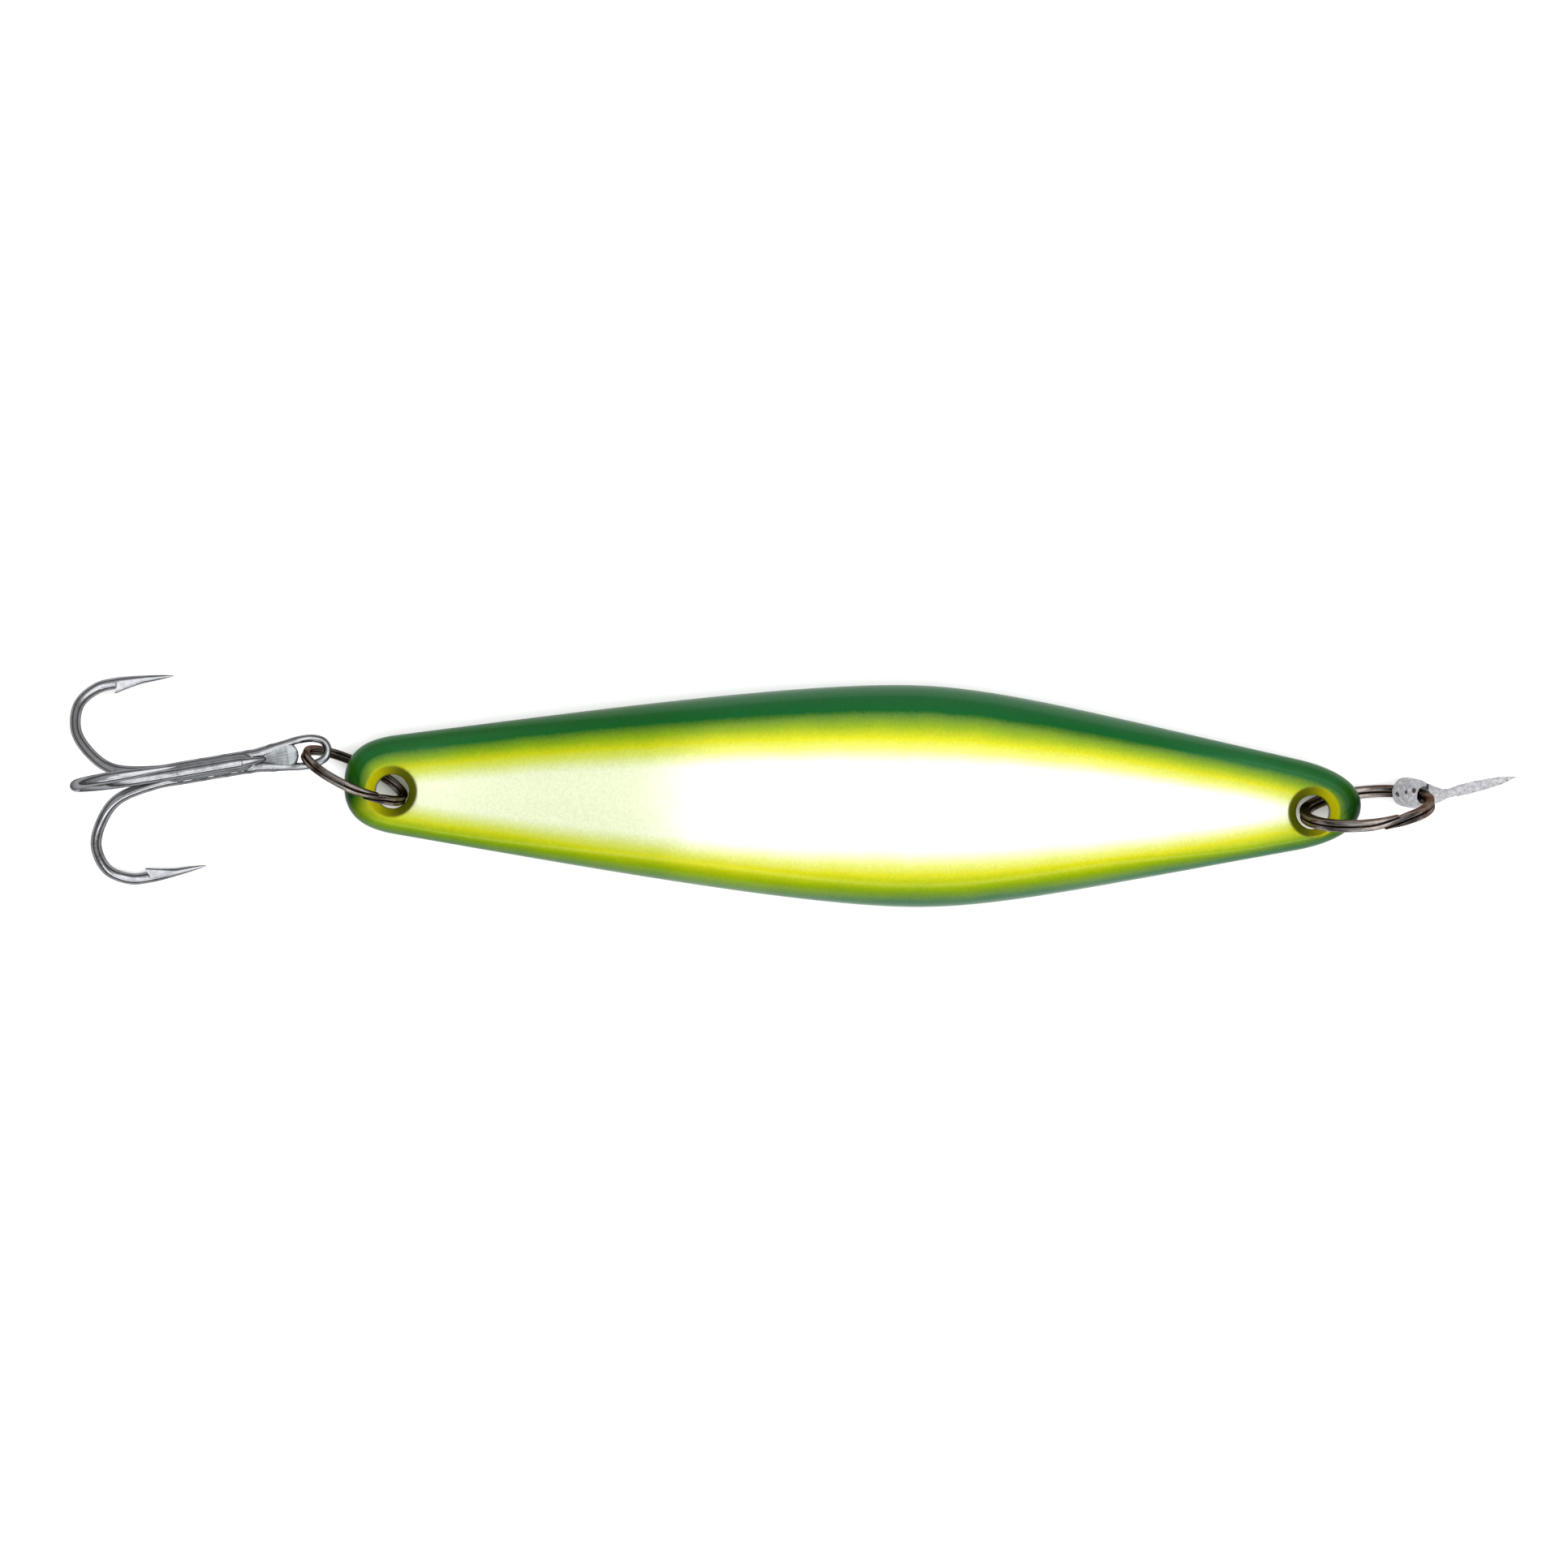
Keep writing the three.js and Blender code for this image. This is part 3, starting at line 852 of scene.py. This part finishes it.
def brazeMesh():
    # a skin that fills the wedge behind the eye and the grooves between the three wires
    eyeX, eyeY, eyeZ = zip(*reversed(eyeKnots(1)[:3]))
    places = [math.radians(hook[key]) for key in ("bellyProng", "upperProng", "backProng")]
    rays = [np.array([math.cos(p), math.sin(p)]) for p in places]
    riseX, riseOut = zip(*hook["thirdRise"], (8, hook["strand"]))
    turn = np.arange(braze["sides"]) * 2 * math.pi / braze["sides"]
    around = np.column_stack([np.cos(turn), np.sin(turn)])
    loops = []
    for along in np.linspace(braze["start"], braze["end"], braze["rows"]):
        shank = min(max((along - 5.4) / 2.6, 0), 1)
        side = np.array([np.interp(along, eyeX, eyeY), np.interp(along, eyeX, eyeZ)])
        strands = [
            side * (1 - shank) + rays[0] * hook["strand"] * shank,
            side * (-1, 1) * (1 - shank) + rays[2] * hook["strand"] * shank,
        ]
        third = rays[1] * np.interp(along, riseX, riseOut)
        centre = sum(strands) / 2
        discs = brazeDiscs(along, strands, third)
        reaches = np.array([discReach(discs, centre, ray) for ray in around])
        for _ in range(3):
            reaches = (np.roll(reaches, 1) + 2 * reaches + np.roll(reaches, -1)) / 4
        # rounded off at both ends, and a little uneven between them
        fromEnd = min((along - braze["start"]) / 1.1, (braze["end"] - along) / 2.4, 1)
        ease = math.sqrt(max(fromEnd, 0.02))
        wave = 1 + 0.05 * math.sin(2.3 * along) + 0.04 * math.sin(5.1 * along + 1)
        reaches = reaches * (ease if ease < 1 else wave**0.3)
        loop = np.column_stack([np.full(len(turn), along), centre + reaches[:, None] * around])
        loops.append(loop * mm)
    return skinLoops("hookBraze", loops)


def tinnedMaterial(name, tint, rough):
    plating = {"Metallic": 1.0, "Specular Tint": hook["edgeTint"]}
    material, tree, shader, coords = startMaterial(name, plating)
    cloud = noiseNode(tree, coords, 520.0, 4.0, 0.6)
    tones = [(0.3, tuple(0.62 * c for c in tint)), (0.55, tint), (0.8, tuple(0.85 * c for c in tint))]
    tree.links.new(rampNode(tree, cloud, tones), shader.inputs["Base Color"])
    fine = noiseNode(tree, coords, 3200.0, 3.0, 0.6)
    tree.links.new(rangeNode(tree, fine, 0.25, 0.8, rough - 0.05, rough + 0.09), shader.inputs["Roughness"])
    tree.links.new(bumpNode(tree, fine, 0.16, 0.00002), shader.inputs["Normal"])
    return material


def makeHook():
    place = hookPlace()
    tinned = tinnedMaterial("tinnedWire", *hook["tinned"])
    filled = tinnedMaterial("brazedJoint", *hook["brazed"])
    eye = eyeKnots(1) + [(-2.35, 0, 0)] + eyeKnots(-1)[::-1]
    double = prongKnots(hook["bellyProng"])[::-1] + eye + prongKnots(hook["backProng"])
    third = [radially(along, out, hook["upperProng"]) for along, out in hook["thirdRise"]]
    third += prongKnots(hook["upperProng"])
    made = [
        ("hookDoubleWire", hookWireMesh("hookDoubleWire", double, 1100), tinned, "hook_double_wire"),
        ("hookSingleWire", hookWireMesh("hookSingleWire", third, 560, True), tinned, "hook_single_wire"),
        ("hookBraze", brazeMesh(), filled, None),
    ]
    for name, mesh, finish, node in made:
        mesh.transform(place)
        piece = linkMesh(name, mesh)
        mesh.materials.append(finish)
        smoothWithCreases(piece, 50)
        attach(piece, "hook")
        if node:
            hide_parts(node)


makeHook()
report("treble hook")


tape = {
    "angle": -38.0,  # place on the ring, from its far end
    "swing": -4.0,
    "rise": 27.0,  # the tail leans this far from square to the wire
    "width": 3.0,
    "bore": 0.95,
    "outer": 1.6,
    "cuff": [  # place over half the width, share of the outer radius
        (-1.28, 0.66),
        (-1.2, 0.76),
        (-1.0, 0.87),
        (-0.75, 0.97),
        (-0.3, 1.0),
        (0.3, 1.0),
        (0.75, 0.97),
        (0.97, 0.88),
        (1.0, 0.76),
    ],
    "sideways": 1.0,  # mm, how far the neck and tail are pulled towards the belly side
    "neckReach": 3.9,
    "rows": [  # reach, half the width, half the depth
        (-1.1, 0.9, 1.0),
        (0.0, 1.5, 1.4),
        (1.2, 1.35, 1.35),
        (2.4, 1.0, 1.2),
        (3.9, 0.5, 0.55),
        (4.6, 0.5, 0.42),
        (5.8, 0.64, 0.3),
        (8.0, 0.6, 0.24),
        (9.8, 0.48, 0.2),
        (11.2, 0.26, 0.14),
        (12.1, 0.05, 0.05),
    ],
    "voxel": 0.075,
    "threadPitch": 0.34,
    "threadRise": 0.035,
    "tones": [(0.3, linear(112, 112, 118)), (0.5, linear(152, 152, 156)), (0.72, linear(184, 184, 187))],
    "stain": (120, 118, 84),
    "stainFromTip": 3.44,
    "stitchLine": ((-1.47, -0.194), (1.63, 0.706)),  # mm along X and Y from the tape's hinge
    "stitchCount": 5,
    "stitchSize": (0.55, 0.38),
}


def tapeMaterial():
    material, tree, shader, coords = startMaterial(
        "paleTape", {"Roughness": 0.92, "Specular IOR Level": 0.2, "Sheen Weight": 0.15}
    )
    mottle = noiseNode(tree, coords, 2400.0, 4.0, 0.7)
    cloth = rampNode(tree, mottle, tape["tones"])
    # one pale stain across the tail
    _, tapeHigh, _ = boxInMm("ring_tape")
    centre = (tapeHigh.x - tape["stainFromTip"]) * mm
    away = mathNode(tree, "SUBTRACT", splitXyz(tree, coords)["X"], centre)
    near = rangeNode(tree, mathNode(tree, "ABSOLUTE", away), 0.0003, 0.0011, 0.5, 0.0)
    patch = mathNode(tree, "MULTIPLY", near, rangeNode(tree, noiseNode(tree, coords, 900.0), 0.45, 0.6))
    tree.links.new(mixColor(tree, patch, cloth, solid(tape["stain"])), shader.inputs["Base Color"])
    fibre = noiseNode(tree, stretched(tree, coords, (3000, 9000, 9000), (0.3, 0.2, 0.4)), 1.0, 3.0, 0.65)
    tree.links.new(bumpNode(tree, fibre, 0.6, 0.00006), shader.inputs["Normal"])
    return material


def inkMaterial():
    material, tree, shader, coords = startMaterial("darkStitch", {"Roughness": 0.8})
    tones = [(0.3, (0.008, 0.008, 0.01)), (0.8, (0.04, 0.04, 0.045))]
    tree.links.new(rampNode(tree, noiseNode(tree, coords, 5000.0), tones), shader.inputs["Base Color"])
    return material


def tapePlace():
    strandRadius = (noseRing["outer"] - noseRing["radial"]) / 2 * mm
    turn = Matrix.Rotation(math.radians(tape["angle"]), 4, "Z")
    along = Matrix.Rotation(math.pi / 2, 4, "X") @ Matrix.Rotation(math.radians(tape["swing"]), 4, "Z")
    return ringPlace(noseRing, "nose_split_ring") @ turn @ Matrix.Translation((strandRadius, 0, 0)) @ along


def weaveTree():
    # raises over-and-under threads on a skin, from the place of each point in the tape's own frame
    tree, given = newTree(
        "wovenThreads",
        [
            ("Geometry", "Geometry", None),
            ("Pitch", "Float", 0.00034),
            ("Rise", "Float", 0.00003),
            ("Finish", "Material", None),
        ],
    )
    spot = splitXyz(tree, addNode(tree, "GeometryNodeInputPosition").outputs[0])
    rate = mathNode(tree, "DIVIDE", math.pi, given["Pitch"])
    warp = mathNode(tree, "SINE", mathNode(tree, "MULTIPLY", spot["X"], rate))
    aslant = mathNode(tree, "ADD", spot["Z"], spot["Y"])
    weft = mathNode(tree, "SINE", mathNode(tree, "MULTIPLY", aslant, rate))
    fuzz = addNode(tree, "ShaderNodeTexNoise", {"Scale": 2600.0, "Detail": 2.0}).outputs["Fac"]
    fuzz = mathNode(tree, "MULTIPLY_ADD", fuzz, 1.6, -0.8)
    lift = mathNode(tree, "ADD", mathNode(tree, "MULTIPLY", warp, weft), fuzz)
    lift = mathNode(tree, "MULTIPLY", lift, given["Rise"])
    normal = addNode(tree, "GeometryNodeInputNormal").outputs[0]
    outward = addNode(tree, "ShaderNodeVectorMath", {0: normal, "Scale": lift}, operation="SCALE").outputs[0]
    raised = {"Geometry": given["Geometry"], "Offset": outward}
    raised = addNode(tree, "GeometryNodeSetPosition", raised).outputs[0]
    smooth = addNode(tree, "GeometryNodeSetShadeSmooth", {"Geometry": raised}).outputs[0]
    return endTree(tree, smooth, given["Finish"])


def stitchTree():
    # short dark stitches laid on the cloth below a straight line
    tree, given = newTree(
        "tapeStitches",
        [
            ("Start", "Vector", None),
            ("End", "Vector", None),
            ("Count", "Int", 5),
            ("Length", "Float", 0.0005),
            ("Thickness", "Float", 0.0004),
            ("Cloth", "Object", None),
            ("Finish", "Material", None),
        ],
    )
    ends = {"Start": given["Start"], "End": given["End"]}
    line = addNode(tree, "GeometryNodeCurvePrimitiveLine", ends).outputs[0]
    points = addNode(tree, "GeometryNodeCurveToPoints", {"Curve": line, "Count": given["Count"]}).outputs[0]
    cloth = addNode(tree, "GeometryNodeObjectInfo", {"Object": given["Cloth"]}).outputs["Geometry"]
    ray = {"Target Geometry": cloth, "Ray Direction": (0, 0, -1), "Ray Length": 1.0}
    down = addNode(tree, "GeometryNodeRaycast", ray).outputs
    landed = {"Geometry": points, "Position": down["Hit Position"]}
    laid = addNode(tree, "GeometryNodeSetPosition", landed).outputs[0]
    flat = {"Vector": down["Hit Normal"]}
    flat = addNode(tree, "FunctionNodeAlignRotationToVector", flat, axis="Z").outputs[0]
    size = joinXyz(tree, given["Thickness"], given["Length"], given["Thickness"])
    spread = {0: (0.75, 0.7, 0.9), 1: (1.15, 1.2, 1.1), "Seed": 4}
    vary = addNode(tree, "FunctionNodeRandomValue", spread, data_type="FLOAT_VECTOR").outputs[0]
    scale = addNode(tree, "ShaderNodeVectorMath", {0: size, 1: vary}, operation="MULTIPLY").outputs[0]
    grain = addNode(tree, "GeometryNodeMeshUVSphere", {"Segments": 20, "Rings": 12, "Radius": 0.5}).outputs[0]
    grain = addNode(tree, "GeometryNodeSetShadeSmooth", {"Geometry": grain}).outputs[0]
    copies = {"Points": laid, "Instance": grain, "Rotation": flat, "Scale": scale}
    copies = addNode(tree, "GeometryNodeInstanceOnPoints", copies).outputs[0]
    return endTree(tree, copies, given["Finish"])


def ovalLoop(wide, deep, sides, corner=1.0):
    # a rounded oblong in a plane, squarer the smaller the corner value
    loop = []
    for k in range(sides):
        a = 2 * math.pi * k / sides
        c, s = math.cos(a), math.sin(a)
        loop.append((wide * math.copysign(abs(c) ** corner, c), deep * math.copysign(abs(s) ** corner, s)))
    return np.array(loop)


def levelLoop(radius, z, sides):
    return np.column_stack([ovalLoop(radius, radius, sides), np.full(sides, z)]) * mm


def tailLoops():
    # the rows as sections that lean more and more with the tail, and are pulled sideways at the neck
    lean = np.array(Matrix.Rotation(math.radians(tape["rise"]), 3, "Y"))
    loops = []
    for x, wide, deep in splinePoints(tape["rows"], 90):
        loop = ovalLoop(max(wide, 0.03), max(deep, 0.03), 40, 0.8)
        loop = np.column_stack([np.full(len(loop), x), loop])
        loop[:, 1] += tape["sideways"] * smoothShare(x, 0, tape["neckReach"])
        eased = min(max((x + 1.1) / 2.3, 0), 1)
        loops.append((loop * (1 - eased) + loop @ lean.T * eased) * mm)
    return loops


def wovenTapeMesh():
    # tail and cuff joined, bored for the ring's wire and evened out
    half = tape["width"] / 2
    cuff = [levelLoop(share * tape["outer"], place * half, 64) for place, share in tape["cuff"]]
    bore = [levelLoop(tape["bore"], end, 48) for end in (-4.0, 4.0)]
    piece = linkMesh("wovenTape", skinLoops("wovenTape", tailLoops()))
    tools = []
    for name, loops, operation in (("tapeCuff", cuff, "UNION"), ("tapeBore", bore, "DIFFERENCE")):
        join = piece.modifiers.new(name, "BOOLEAN")
        join.operation = operation
        join.solver = "EXACT"
        join.object = linkMesh(name, skinLoops(name, loops))
        tools.append(join.object)
    even = piece.modifiers.new("even", "REMESH")
    even.mode = "VOXEL"
    even.voxel_size = tape["voxel"] * mm
    piece.modifiers.new("soften", "SMOOTH").iterations = 6
    frozen(piece)
    for tool in tools:
        bpy.data.objects.remove(tool)
    return piece


def makeTape():
    piece = wovenTapeMesh()
    values = {"Pitch": tape["threadPitch"] * mm, "Rise": tape["threadRise"] * mm, "Finish": tapeMaterial()}
    runTree(piece, weaveTree(), values)
    piece.data.transform(tapePlace())
    piece.data.update()
    hinge = Vector(joints["tape_flip"]["pos_m"])
    height = 0.03  # metres, well above the cloth
    start, end = ((hinge.x + x * mm, hinge.y + y * mm, height) for x, y in tape["stitchLine"])
    values = {
        "Start": start,
        "End": end,
        "Count": tape["stitchCount"],
        "Length": tape["stitchSize"][0] * mm,
        "Thickness": tape["stitchSize"][1] * mm,
        "Cloth": piece,
        "Finish": inkMaterial(),
    }
    stitches = runTree(linkMesh("tapeStitches", bpy.data.meshes.new("tapeStitches")), stitchTree(), values)
    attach(piece, "tape")
    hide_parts("ring_tape")
    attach(stitches, "tape")


makeTape()
report("tape")


studio = {
    "floorSize": 6.0,
    "floorGap": 0.03,  # mm between the floor and what lies on it
    "floorTone": 0.96,
    "skyTone": 1.0,
    "horizon": 0.2,
    "zenith": 1.25,
    "lights": [  # place and size in metres, watts
        ("overheadBox", (0.22, 0.0, 0.95), (1.2, 0.8), 8.6),
        ("bellyStrip", (0.0, -0.85, 0.72), (1.1, 0.22), 4.2),
    ],
}


def makeFloor():
    half = studio["floorSize"] / 2
    level = cadLow.z - studio["floorGap"] * mm
    corners = [(-half, -half, level), (half, -half, level), (half, half, level), (-half, half, level)]
    floor = linkMesh("paleFloor", meshFrom("paleFloor", corners, [(0, 1, 2, 3)]))
    tone = studio["floorTone"]
    chalk = {"Base Color": (tone, tone, tone, 1), "Roughness": 0.9, "Specular IOR Level": 0.1}
    floor.data.materials.append(startMaterial("paleFloor", chalk)[0])


def makeWorld():
    # dark near the horizon, so that wires keep dark edges, and bright overhead
    world = bpy.data.worlds.new("softStudio")
    bpy.context.scene.world = world
    world.use_nodes = True
    tree = world.node_tree
    height = splitXyz(tree, addNode(tree, "ShaderNodeTexCoord").outputs["Generated"])["Z"]
    low, high, tone = studio["horizon"], studio["zenith"], studio["skyTone"]
    stops = [(0.0, (low, low, low)), (0.3, (low * 1.1, low * 1.1, low * 1.12)), (0.75, (high, high, high))]
    seen = addNode(tree, "ShaderNodeLightPath").outputs["Is Camera Ray"]
    sky = mixColor(tree, seen, rampNode(tree, height, stops), (tone, tone, tone, 1))
    tree.links.new(sky, tree.nodes["Background"].inputs["Color"])


def makeLight(name, where, size, power):
    data = bpy.data.lights.new(name, "AREA")
    data.shape = "RECTANGLE"
    data.size, data.size_y = size
    data.energy = power
    light = bpy.data.objects.new(name, data)
    bpy.context.scene.collection.objects.link(light)
    light.location = where
    light.rotation_euler = Vector(where).to_track_quat("Z", "Y").to_euler()


makeFloor()
makeWorld()
for light in studio["lights"]:
    makeLight(*light)
bpy.context.scene.view_settings.view_transform = "Standard"
report("studio")
